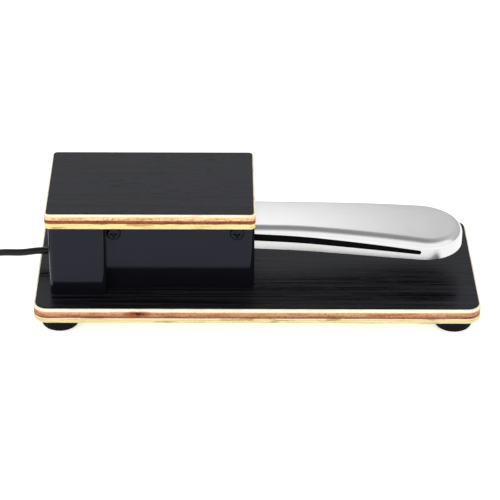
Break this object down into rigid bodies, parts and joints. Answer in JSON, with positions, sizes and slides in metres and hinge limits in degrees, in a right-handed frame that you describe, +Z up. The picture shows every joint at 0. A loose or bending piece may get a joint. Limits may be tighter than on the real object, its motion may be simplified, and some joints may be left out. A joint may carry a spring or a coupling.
{
  "type": "sustain pedal",
  "caption": "Piano-style sustain pedal: chromed foot lever on a plywood base, black housing with a plywood top, thin cable in a tied coil with a phone plug.",
  "frame": {"origin": "middle of the footprint on the floor, at the underside of the rubber feet", "axes": "+X along the base towards the pedal's toe, +Y away from the player's left side across the base, +Z up"},
  "size_m": [0.3567, 0.1662, 0.0693],
  "materials": {
    "plywood": "raw plywood edge with layers, eased arrises",
    "black_laminate": "black laminate with embossed wood grain, satin",
    "black_rubber": "matte",
    "black_plastic": "moulded, semi-gloss",
    "black_screws": "black oxide pan heads",
    "zinc_steel": "zinc plated",
    "felt": "pressed felt",
    "nylon": "natural nylon",
    "brass": "stamped",
    "chrome": "polished, bright plated",
    "cable_jacket": "smooth black PVC, slight sheen",
    "lead_insulation": "thin PVC insulation",
    "tie_strap": "woven hook-and-loop strap",
    "plug_plastic": "moulded, fine texture",
    "plug_metal": "nickel plated, turned"
  },
  "bodies": {
    "base": {"base_board": "plywood", "base_laminate": "black_laminate", "top_board": "plywood", "top_laminate": "black_laminate", "foot_front_left": "black_rubber", "foot_front_right": "black_rubber", "foot_back_left": "black_rubber", "foot_back_right": "black_rubber", "foot_screws": "zinc_steel", "housing": "black_plastic", "housing_screws": "black_screws", "top_board_screws": "zinc_steel", "chassis": "zinc_steel", "chassis_screws": "zinc_steel", "stop_bar": "zinc_steel", "up_stop_pad": "felt", "down_stop_bumper": "black_rubber", "bumper_screw": "zinc_steel", "spring_seat": "nylon", "return_spring": "zinc_steel", "pivot_pin": "zinc_steel", "pivot_clips": "zinc_steel", "pivot_washers": "nylon", "switch_body": "black_plastic", "switch_terminals": "brass", "switch_bracket": "zinc_steel", "switch_screws": "zinc_steel", "switch_nuts": "zinc_steel", "bracket_screws": "zinc_steel", "cable_grommet": "black_rubber", "cable_inside": "cable_jacket", "clamp_base": "black_plastic", "clamp_cap": "black_plastic", "clamp_screws": "zinc_steel", "switch_leads": "lead_insulation", "cord_tube": "cable_jacket", "cord_coil": "cable_jacket", "cord_tail": "cable_jacket", "coil_tie": "tie_strap", "plug_grip": "plug_plastic", "plug_sleeve": "plug_metal", "plug_insulator": "plug_plastic", "plug_tip": "plug_metal"},
    "pedal": {"pedal_cover": "chrome", "pedal_core": "black_plastic", "lever_bar": "zinc_steel", "pedal_screws": "zinc_steel", "pivot_tube": "zinc_steel", "spring_spigot": "zinc_steel"},
    "plunger": {"switch_plunger": "nylon"}
  },
  "joints": [
    {"name": "pedal_hinge", "type": "hinge", "parent": "base", "child": "pedal", "pos_m": [-0.072, 0, 0.0336], "axis": [0, 1, 0], "range_deg": [0, 3.6], "stiffness_Nm_per_rad": 16, "springref_deg": -3.58, "deforming": ["return_spring"]},
    {"name": "plunger_slide", "type": "slide", "parent": "base", "child": "plunger", "axis": [0, 0, 1], "range_m": [0, 0.0011]}
  ],
  "couplings": [
    {"joint": "plunger_slide", "follows": "pedal_hinge", "m_per_rad": 0.016}
  ]
}
